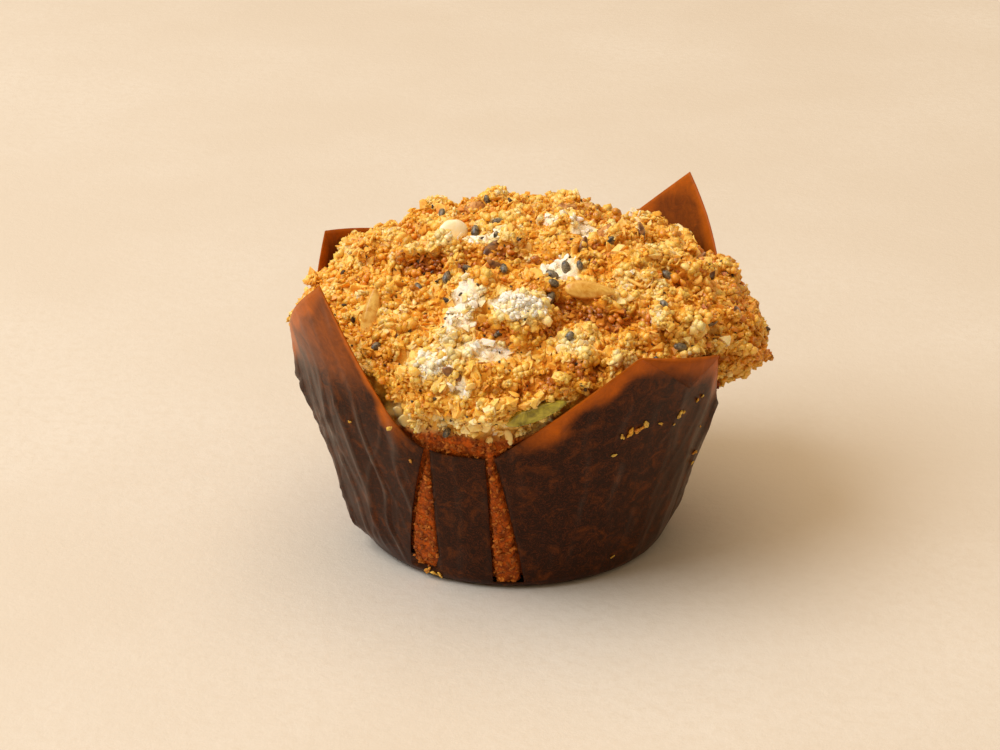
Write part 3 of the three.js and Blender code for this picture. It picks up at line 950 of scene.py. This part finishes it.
def sown(name, shapes, material, count, seed, weight, size, spread, proportion, sink,
         tone_shift, tone_spread, lean, smooth):
    """Spreads small things over the crust by a weight, with their tones taken from the crust under them."""
    draw = np.random.default_rng(seed)
    skin, values = crust_skin()
    places, normals, blend = skin.sample(draw, count, (values["free"] > 0.5) * weight(values))
    lengths = size * np.exp(spread * draw.normal(size=count))
    lengths = np.clip(lengths, 0.4 * size, 2.0 * size)
    sizes = lengths[:, None] * (np.array(proportion) * draw.uniform(0.8, 1.2, (count, 3)))
    # The crust's tone carries its painted shade and highlight onto the crumbs.
    tones = blend(values["tone"]) + tone_shift + tone_spread * draw.normal(size=count)
    places = places + normals * (sizes[:, 2] * (0.5 - sink))[:, None]
    kept = beside_seeds(places, 0.3 * size) & within_box(places, 0.55 * lengths[:, None])
    places, normals, sizes, tones = places[kept], normals[kept], sizes[kept], tones[kept]
    piece = stamped(name, shapes, places, normals, sizes, {"tone": np.clip(tones, 0.02, 1)}, draw, lean)
    piece.data.materials.append(material)
    finish_piece(piece, smooth=smooth)
    return piece


class MUFFIN_OT_crumbs(bpy.types.Operator):
    """Covers the crust with fine crumbs, larger lumps and pale flakes"""

    bl_idname = "muffin.crumbs"
    bl_label = "Crumbs and flakes"

    def execute(self, context):
        settings = context.scene.muffin_crust

        def open_crust(v):
            return (v["crust"] > 0.6) * np.clip(1.25 - 1.1 * v["hollow"], 0.15, 1)

        def pale_crust(v):
            return (v["crust"] > 0.6) * (0.15 + v["tone"] ** 2) * (1 - 0.8 * v["pale"])

        sown(
            "fine_crumbs", ball_shapes(10, 1, 0.4, seed=10),
            baked_material("fine crumbs", scale=1500.0, amount=0.3, roughness=0.38),
            count=settings.crumbs, seed=101, weight=lambda v: open_crust(v) * (1 - 0.75 * v["pale"]),
            size=1.15 * MM, spread=0.3, proportion=(1.0, 0.85, 0.6), sink=0.32,
            tone_shift=0.04, tone_spread=0.09, lean=0.9, smooth=False,
        )
        sown(
            "pearls", ball_shapes(8, 1, 0.26, seed=70),
            baked_material("pearls", scale=1500.0, amount=0.3, roughness=0.3, gloss=0.25),
            count=settings.pearls, seed=104, weight=lambda v: open_crust(v) * (1 - 0.9 * v["pale"]),
            size=1.15 * MM, spread=0.3, proportion=(1.0, 0.8, 0.6), sink=0.35,
            tone_shift=0.03, tone_spread=0.09, lean=0.8, smooth=True,
        )
        sown(
            "clumps", clump_shapes(12, 4, 20),
            baked_material("clumps", scale=1300.0, amount=0.35, roughness=0.35, gloss=0.2),
            count=settings.clumps, seed=102, weight=lambda v: open_crust(v) * (1 - 0.95 * v["pale"]),
            size=2.1 * MM, spread=0.25, proportion=(1.0, 1.0, 0.8), sink=0.25,
            tone_shift=0.05, tone_spread=0.08, lean=0.6, smooth=True,
        )
        sown(
            "pale_flakes", curled_shapes(8, 30),
            baked_material("pale flakes", scale=1500.0, amount=0.2, roughness=0.6, glow=0.2),
            count=settings.flakes, seed=103, weight=pale_crust,
            size=1.8 * MM, spread=0.3, proportion=(1.0, 0.6, 0.5), sink=0.3,
            tone_shift=0.1, tone_spread=0.09, lean=0.5, smooth=True,
        )
        sown(
            "slit_crumbs", ball_shapes(8, 1, 0.3, seed=75),
            seed_material("slit crumbs", srgb(112, 46, 4), srgb(198, 112, 28), 500.0, 0.8, 0.0),
            count=settings.slit_crumbs, seed=106, weight=lambda v: v["bare"],
            size=0.6 * MM, spread=0.4, proportion=(1.0, 0.8, 0.6), sink=0.4,
            tone_shift=0, tone_spread=0, lean=0.8, smooth=False,
        )
        sown(
            "specks", ball_shapes(4, 1, 0.15, seed=80),
            seed_material("specks", srgb(40, 26, 16), srgb(96, 72, 46), 900.0, 0.5, 0.1),
            count=settings.specks, seed=105, weight=lambda v: v["crust"] > 0.6,
            size=0.7 * MM, spread=0.3, proportion=(1.0, 0.6, 0.5), sink=-0.3,
            tone_shift=0, tone_spread=0, lean=0.6, smooth=False,
        )
        return {"FINISHED"}


def laid_at_pixels(skin, pixels, raised):
    """Places, normals and turns for things given by a pixel each, half turned to the camera."""
    found = [(skin.at_pixel(p[0], p[1]), p[2] if len(p) > 2 else 0) for p in pixels]
    found = [(*hit, turn) for hit, turn in found if hit]
    places, normals, turns = (np.array(part) for part in zip(*found))
    away = photo_frame()[0] - places
    facing = normals + away / np.linalg.norm(away, axis=1)[:, None]
    facing /= np.linalg.norm(facing, axis=1)[:, None]
    return places + raised * facing, facing, turns


def strewn(skin, values, draw, count, spacing, taken, raised, length):
    """Further places that the crust hides in the photo, at least a spacing apart."""
    weight = (values["crust"] > 0.7) * (values["free"] > 0.5) * (skin.points[:, 2] > 38 * MM)
    places, normals, _ = skin.sample(draw, 40 * count, weight.astype(float))
    unseen = np.array([skin.hides(place + (0.6 * length + 2 * MM) * UP) for place in places], bool)
    chosen, ups = [], []
    for place, normal in zip(places[unseen], normals[unseen]):
        others = np.array(list(taken) + chosen)
        if len(others) == 0 or np.linalg.norm(others - place, axis=1).min() > spacing:
            chosen.append(place + raised * normal)
            ups.append(normal)
        if len(chosen) == count:
            break
    return np.array(chosen).reshape(-1, 3), np.array(ups).reshape(-1, 3)


def sow_kind(name, shapes, material, pixels, more, seed, size, spread, raised, spacing, lean=0.25,
             free_turn=True):
    """Seeds of one kind: at their pixels in the photo, and as many more on the hidden sides."""
    draw = np.random.default_rng(seed)
    skin, values = crust_skin()
    places, normals, turns = laid_at_pixels(skin, pixels, raised)
    extra, ups = strewn(skin, values, draw, more, spacing, places, 0.5 * raised, size[0])
    places = np.concatenate([places, extra])
    normals = np.concatenate([normals, ups])
    kept = within_box(places, 0.2 * size[0])
    given = draw.uniform(0, 360, len(places))
    if not free_turn:
        given[: len(turns)] = turns
    places, normals, given = places[kept], normals[kept], given[kept]
    sizes = np.array(size) * draw.uniform(1 - spread, 1 + spread, (len(places), 1))
    tones = {"tone": draw.random(len(places))}
    piece = stamped(name, shapes, places, normals, sizes, tones, draw, lean, given)
    piece.data.materials.append(material)
    finish_piece(piece)
    return piece


class MUFFIN_OT_seeds(bpy.types.Operator):
    """Sows the dark seeds, brown seeds, kernels, nut pieces, creamy lumps and green seeds"""

    bl_idname = "muffin.seeds"
    bl_label = "Seeds and nuts"

    def execute(self, context):
        sow_kind(
            "dark_seeds", [seed_shape(12, 8, 0.15)],
            seed_material("dark seeds", srgb(46, 38, 28), srgb(146, 130, 100), 1400.0, 0.35, 0.3),
            pixels=DARK_SEEDS, more=26, seed=201, size=np.array((2.2, 1.5, 1.2)) * MM, spread=0.2,
            raised=0.75 * MM, spacing=3 * MM,
        )
        sow_kind(
            "brown_seeds", [seed_shape(14, 10, 0.45, flat=0.6)],
            seed_material("brown seeds", srgb(84, 46, 18), srgb(176, 118, 58), 700.0, 0.3, 0.4),
            pixels=BROWN_SEEDS, more=9, seed=202, size=np.array((4.2, 2.2, 1.6)) * MM, spread=0.15,
            raised=0.5 * MM, spacing=4 * MM,
        )
        sow_kind(
            "kernels", [seed_shape(22, 16, 0.5, 7, 0.75)],
            seed_material("kernels", srgb(204, 136, 34), srgb(238, 190, 92), 500.0, 0.35, 0.2),
            pixels=KERNELS, more=4, seed=203, size=np.array((8.4, 3.9, 2.6)) * MM, spread=0.06,
            raised=0.6 * MM, spacing=12 * MM, lean=0.05, free_turn=False,
        )
        sow_kind(
            "nut_pieces", ball_shapes(5, 2, 0.2, 0.5, seed=40),
            seed_material("nut pieces", srgb(150, 86, 30), srgb(222, 160, 88), 700.0, 0.5, 0.1),
            pixels=NUT_PIECES, more=6, seed=204, size=np.array((4.6, 2.8, 2.8)) * MM, spread=0.25,
            raised=0.15 * MM, spacing=9 * MM, lean=0.3, free_turn=False,
        )
        sow_kind(
            "creamy_lumps", ball_shapes(3, 3, 0.03, 0.7, seed=50),
            seed_material("creamy lumps", srgb(248, 222, 160), srgb(255, 244, 214), 260.0, 0.4, 0.2),
            pixels=(CREAMY_LUMP,), more=0, seed=205, size=np.array((6.0, 4.6, 3.4)) * MM, spread=0.1,
            raised=0.6 * MM, spacing=14 * MM, lean=0.05, free_turn=False,
        )
        sow_kind(
            "green_seeds", [pumpkin_shape()],
            seed_material("green seeds", srgb(104, 86, 10), srgb(190, 172, 52), 380.0, 0.3, 0.4),
            pixels=(PUMPKIN_SEED,), more=2, seed=206, size=np.array((11.2, 3.4, 2.4)) * MM, spread=0.05,
            raised=1.5 * MM, spacing=18 * MM, lean=0.05, free_turn=False,
        )
        return {"FINISHED"}


# The case.


GUSSET, OPEN = -2, -3


def sheet_lines(petal_columns, tongue_columns, gap_columns):
    """Lines up the paper: azimuths at the foot and at the edge, share across the patch, and patch.

    A patch is a petal's number, -1 on a tongue, GUSSET in a slit whose foot is still closed, or OPEN.
    """
    cuts = slits()
    lines = []
    for k, (top, foot, wide_top, wide_foot) in enumerate(cuts):
        after = cuts[(k + 1) % len(cuts)]
        turn = 360 if k + 1 == len(cuts) else 0
        petal = (k + 1) // 2 % 4 if k % 2 == 1 else -1
        ends = np.array(((foot + wide_foot / 2, after[1] - after[3] / 2 + turn),
                         (top + wide_top / 2, after[0] - after[2] / 2 + turn)))
        for share in np.linspace(0, 1, (petal_columns if petal >= 0 else tongue_columns) + 1):
            azimuths = ends[:, 0] + (ends[:, 1] - ends[:, 0]) * share
            if petal >= 0:
                tips = near(PETALS[petal]["azimuth"], ends.mean(axis=1))
                azimuths = tips + (ends[:, 0 if share < 0.5 else 1] - tips) * abs(2 * share - 1) ** 1.15
            lines.append((*azimuths, share, petal))
        gap = ends[:, 1]
        closing = np.array((after[1] + after[3] / 2 + turn, after[0] + after[2] / 2 + turn))
        kind = GUSSET if after[3] > 12 else OPEN
        for share in np.arange(1, gap_columns) / gap_columns:
            lines.append((*(gap + (closing - gap) * share), share, kind))
    return np.array(lines)


def creases(across, climb, spacing, width, seed):
    """Straight facets between creases, and ridges pinched along the creases, both from 0 to 1."""
    draw = np.random.default_rng(seed)
    start, end = across.min() - 4 * spacing, across.max() + 4 * spacing
    knots = np.cumsum(draw.uniform(0.4, 1.6, int((end - start) / spacing) + 8)) * spacing + start
    foot, top = draw.random((2, len(knots)))
    facets = (1 - climb) * np.interp(across, knots, foot) + climb * np.interp(across, knots, top)
    after = np.clip(np.searchsorted(knots, across), 1, len(knots) - 1)
    nearest = after - (across - knots[after - 1] < knots[after] - across)
    height = draw.uniform(0.2, 1, len(knots))[nearest]
    fade = 0.4 + 0.6 * ((1 - climb) * foot[nearest] + climb * top[nearest])
    return facets, height * fade * np.clip(1 - np.abs(across - knots[nearest]) / width, 0, 1)


class MUFFIN_OT_paper(bpy.types.Operator):
    """Folds the case of baking paper with its petals, slits and pleats"""

    bl_idname = "muffin.paper"
    bl_label = "Paper case"

    wall_rows = 64
    foot_rows = 9
    flap_rows = 6

    def execute(self, context):
        lines = sheet_lines(petal_columns=84, tongue_columns=16, gap_columns=6)
        rows = self.foot_rows + self.wall_rows + self.flap_rows
        piece = shaped(bpy.ops.mesh.primitive_grid_add, "case", x_subdivisions=len(lines),
                       y_subdivisions=rows, size=2)
        flat = read(piece.data.vertices, "co")
        column = np.rint((flat[:, 0] + 1) / 2 * len(lines)).astype(int) % len(lines)
        row = np.rint((flat[:, 1] + 1) / 2 * rows).astype(int)
        points, dry_and_backlit, wear_and_sheen = self.wrap(lines, column, row)
        move_points(piece.data, points)
        give(piece.data, "dry_and_backlit", dry_and_backlit)
        give(piece.data, "wear_and_sheen", wear_and_sheen)
        self.cut(piece, lines)
        for name, inner in (("paper outside", False), ("paper inside", True)):
            piece.data.materials.append(paper_material(name, inner))
        apply_modifier(piece, "SOLIDIFY", thickness=context.scene.muffin_paper.thickness, offset=-1,
                       material_offset=1, material_offset_rim=1)
        finish_piece(piece, nodes=PAPER_NODES)
        return {"FINISHED"}

    def wrap(self, lines, column, row):
        """Where each grid point lies on the case, with its shares of edge colour and crease colour."""
        paper = bpy.context.scene.muffin_paper
        foot_azimuth, top_azimuth, across, patch = lines[column].T
        steep = math.atan(paper.flare)
        stretch = math.hypot(1, paper.flare)
        arc = paper.foot_radius + paper.flare * paper.foot_round - paper.foot_round * stretch
        disc_rows = 3
        disc = np.clip(row / disc_rows, 0, 1)
        share = np.clip((row - disc_rows) / (self.foot_rows - disc_rows), 0, 1)
        angle = -math.pi / 2 + (math.pi / 2 - steep) * share
        radius = arc * disc + paper.foot_round * np.cos(angle)
        height = paper.foot_round * (1 + np.sin(angle))
        start = paper.foot_round * (1 - math.sin(steep))
        climb = np.clip((row - self.foot_rows) / self.wall_rows, 0, 1)
        edge = edge_height(top_azimuth)
        azimuth = foot_azimuth + (top_azimuth - foot_azimuth) * climb
        wall = row > self.foot_rows
        height = np.where(wall, start + (edge - start) * climb, height)
        lift, wear_and_sheen = self.pleats(azimuth, height, climb, patch)
        fold = -0.3 * MM - 0.7 * MM * (1 - np.abs(2 * across - 1)) * smoothstep(0, 3 * MM, height)
        lift = np.where(patch == GUSSET, fold, lift)
        radius = np.where(wall, wall_radius(height) + lift, radius)
        flap = np.clip((row - self.foot_rows - self.wall_rows) / self.flap_rows, 0, 1)
        hang = self.hang(top_azimuth)
        height = height - FOLD["drop"] * MM * hang * flap
        flap_radius = wall_radius(height) + 0.3 * MM + FOLD["stand_off"] * MM * hang * flap
        radius = np.where(flap > 0, flap_radius, radius)
        turned = np.radians(azimuth)
        points = np.stack([radius * np.sin(turned), -radius * np.cos(turned), height], 1)
        points[row == 0] = 0
        # Lighter along the edge and on the upper petals: partly drier paper, partly a painted glow of light
        # shining through.
        margin = edge - height + 2.2 * MM * noise_field(points, 5 * MM, 20)
        rim = (1 - smoothstep(0.5 * MM, 5.5 * MM, margin)) * smoothstep(30 * MM, 38 * MM, edge)
        upper = np.array([petal["dry_and_backlit"] for petal in PETALS] + [0.0, 0.0, 0.0])[patch.astype(int)]
        dry_and_backlit = np.maximum(rim, upper * smoothstep(36 * MM, 48 * MM, height + margin / 8))
        return points, dry_and_backlit, wear_and_sheen

    def hang(self, azimuth):
        """How far the folded tip hangs at azimuths, from 0 at its ends to 1 at its point."""
        start, end = FOLD["from"][0], FOLD["to"][0]
        share = (near(azimuth, (start + end) / 2) - start) / (end - start)
        tip = FOLD["tip_share"]
        return np.clip(np.minimum(share / tip, (1 - share) / (1 - tip)), 0, 1)

    def pleats(self, azimuth, height, climb, patch):
        """How far pleats lift the paper, and where their creases are pale: wear with a painted sheen."""
        paper = bpy.context.scene.muffin_paper
        across = np.radians(azimuth) * 36 * MM
        flat = np.stack([across, height, 0 * height], 1)
        bend = 2.2 * MM * noise_field(flat, 10 * MM, 21)
        upright, upright_ridge = creases(across + bend, climb, 4.2 * MM, 0.9 * MM, 301)
        rising, rising_ridge = creases(across + 0.3 * height + bend, climb, 7 * MM, 0.7 * MM, 302)
        falling, falling_ridge = creases(across - 0.4 * height - bend, climb, 8 * MM, 0.7 * MM, 303)
        strength = np.full(len(azimuth), 0.07)
        for k, petal in enumerate(PETALS):
            away = near(azimuth, petal["azimuth"]) - petal["azimuth"]
            before, after = petal["pleats"]
            strength = np.where(patch == k, before + (after - before) * smoothstep(-6, 8, away), strength)
        strength *= 1 - 0.9 * smoothstep(30 * MM, 41 * MM, height)
        strength *= smoothstep(1 * MM, 6 * MM, height)
        ridges = upright_ridge + 0.4 * rising_ridge + 0.5 * falling_ridge
        lift = strength * paper.pleat * (0.9 * upright + 0.25 * rising + 0.3 * falling + 0.4 * ridges - 0.3)
        lift = np.maximum(lift, -0.35 * MM)
        patchy = smoothstep(-0.3, 0.3, noise_field(flat, 6 * MM, 22))
        return lift, np.clip(1.4 * ridges ** 1.5 * np.sqrt(strength) * patchy, 0, 1)

    def cut(self, piece, lines):
        """Deletes the slits and what is beyond the edge, and closes the ring and the pole."""
        activate(piece)
        bpy.ops.object.mode_set(mode="EDIT")
        bpy.ops.mesh.select_mode(type="FACE")
        bpy.ops.mesh.select_all(action="DESELECT")
        bpy.ops.object.mode_set(mode="OBJECT")
        kind = np.minimum(lines[:, 3], np.roll(lines[:, 3], -1))
        hang = self.hang(lines[:, 1])
        hang = np.maximum(hang, np.roll(hang, -1))
        closed = self.foot_rows + 15 - 9 * lines[:, 2]
        for polygon in piece.data.polygons:
            k, row = polygon.index % len(lines), polygon.index // len(lines)
            starts = {OPEN: self.foot_rows - 1, GUSSET: closed[k]}
            in_slit = kind[k] in starts and row >= starts[kind[k]]
            no_flap = row >= self.foot_rows + self.wall_rows and hang[k] <= 0
            polygon.select = bool(in_slit or no_flap)
        bpy.ops.object.mode_set(mode="EDIT")
        bpy.ops.mesh.delete(type="FACE")
        bpy.ops.mesh.select_all(action="SELECT")
        bpy.ops.mesh.remove_doubles(threshold=0.004 * MM)
        bpy.ops.mesh.delete_loose()
        bpy.ops.mesh.select_all(action="SELECT")
        bpy.ops.mesh.normals_make_consistent(inside=False)
        bpy.ops.object.mode_set(mode="OBJECT")


class MUFFIN_OT_stuck_crumbs(bpy.types.Operator):
    """Sticks stray crumbs to the paper and in the slits"""

    bl_idname = "muffin.stuck_crumbs"
    bl_label = "Stray crumbs"

    def execute(self, context):
        draw = np.random.default_rng(401)
        skin = Skin(bpy.data.objects["case"])
        found = [(skin.at_pixel(x, y), size) for x, y, size in STUCK_CRUMBS]
        found = [(hit, size) for hit, size in found if hit]
        places = np.array([hit[0] + 0.15 * MM * hit[1] for hit, _ in found])
        normals = np.array([hit[1] for hit, _ in found])
        sizes = np.array([(size, 0.6 * size, 0.4 * size) for _, size in found]) * 0.9 * MM
        tones = draw.uniform(0.25, 0.6, len(places))
        piece = stamped("stray_crumbs", clump_shapes(8, 4, 60), places, normals, sizes,
                        {"tone": tones}, draw, 0.2)
        piece.data.materials.append(baked_material("stray crumbs", 1300.0, 0.25, 0.6))
        finish_piece(piece)
        return {"FINISHED"}


# The stage.


def aim(thing, place, target):
    thing.location = place
    thing.rotation_euler = (Vector(target) - Vector(place)).to_track_quat("-Z", "Y").to_euler()


class MUFFIN_OT_stage(bpy.types.Operator):
    """Sets the pale floor, the soft lights and the photo's camera"""

    bl_idname = "muffin.stage"
    bl_label = "Stage"

    def execute(self, context):
        view = context.scene.muffin_view
        floor = shaped(bpy.ops.mesh.primitive_plane_add, "floor", size=6.0)
        floor.data.materials.append(floor_material())
        lens = bpy.data.cameras.new("photo_camera")
        lens.sensor_width = 36
        lens.lens = lens.sensor_width / 2 / math.tan(view.field / 2)
        lens.clip_start = 0.01
        camera = bpy.data.objects.new("photo_camera", lens)
        context.scene.collection.objects.link(camera)
        aim(camera, Vector(photo_frame()[0]), TARGET)
        context.scene.camera = camera
        self.lamp("key", (-1.02, -0.33, 1.19), 1.3, 23.5, (0.75, 0.86, 1.0))
        self.lamp("overhead", (-0.3, 0.3, 1.8), 2.4, 22.5, (1.0, 0.80, 0.57))
        world = bpy.data.worlds.new("studio")
        context.scene.world = world
        world.use_nodes = True
        world.node_tree.nodes["Background"].inputs["Color"].default_value = (1.0, 0.80, 0.56, 1)
        world.node_tree.nodes["Background"].inputs["Strength"].default_value = 0.45
        context.scene.view_settings.view_transform = "Standard"
        return {"FINISHED"}

    def lamp(self, name, place, size, power, colour):
        light = bpy.data.lights.new(name, "AREA")
        light.shape = "DISK"
        light.size = size
        light.energy = power
        light.color = colour
        lamp = bpy.data.objects.new(name, light)
        bpy.context.scene.collection.objects.link(lamp)
        aim(lamp, place, (0, 0, 0.03))


class MUFFIN_PT_panel(bpy.types.Panel):
    """Lists the muffin's sizes, colours and steps"""

    bl_label = "Muffin"
    bl_space_type = "VIEW_3D"
    bl_region_type = "UI"
    bl_category = "Muffin"

    def draw(self, context):
        for group in (context.scene.muffin_paper, context.scene.muffin_crust, context.scene.muffin_view):
            for name in group.__annotations__:
                self.layout.prop(group, name)
        for operator in STEPS:
            self.layout.operator(operator.bl_idname)


STEPS = (MUFFIN_OT_crust, MUFFIN_OT_seeds, MUFFIN_OT_crumbs, MUFFIN_OT_paper, MUFFIN_OT_stuck_crumbs,
         MUFFIN_OT_stage)
GROUPS = {"muffin_paper": MuffinPaper, "muffin_crust": MuffinCrust, "muffin_view": MuffinView}


def register():
    for kind in (*GROUPS.values(), *STEPS, MUFFIN_PT_panel):
        bpy.utils.register_class(kind)
    for name, kind in GROUPS.items():
        setattr(bpy.types.Scene, name, PointerProperty(type=kind))


def unregister():
    for name in GROUPS:
        delattr(bpy.types.Scene, name)
    for kind in (MUFFIN_PT_panel, *STEPS, *GROUPS.values()):
        bpy.utils.unregister_class(kind)


def main():
    register()
    make_groups()
    for operator in STEPS:
        category, step = operator.bl_idname.split(".")
        getattr(getattr(bpy.ops, category), step)()


if __name__ == "__main__":
    main()
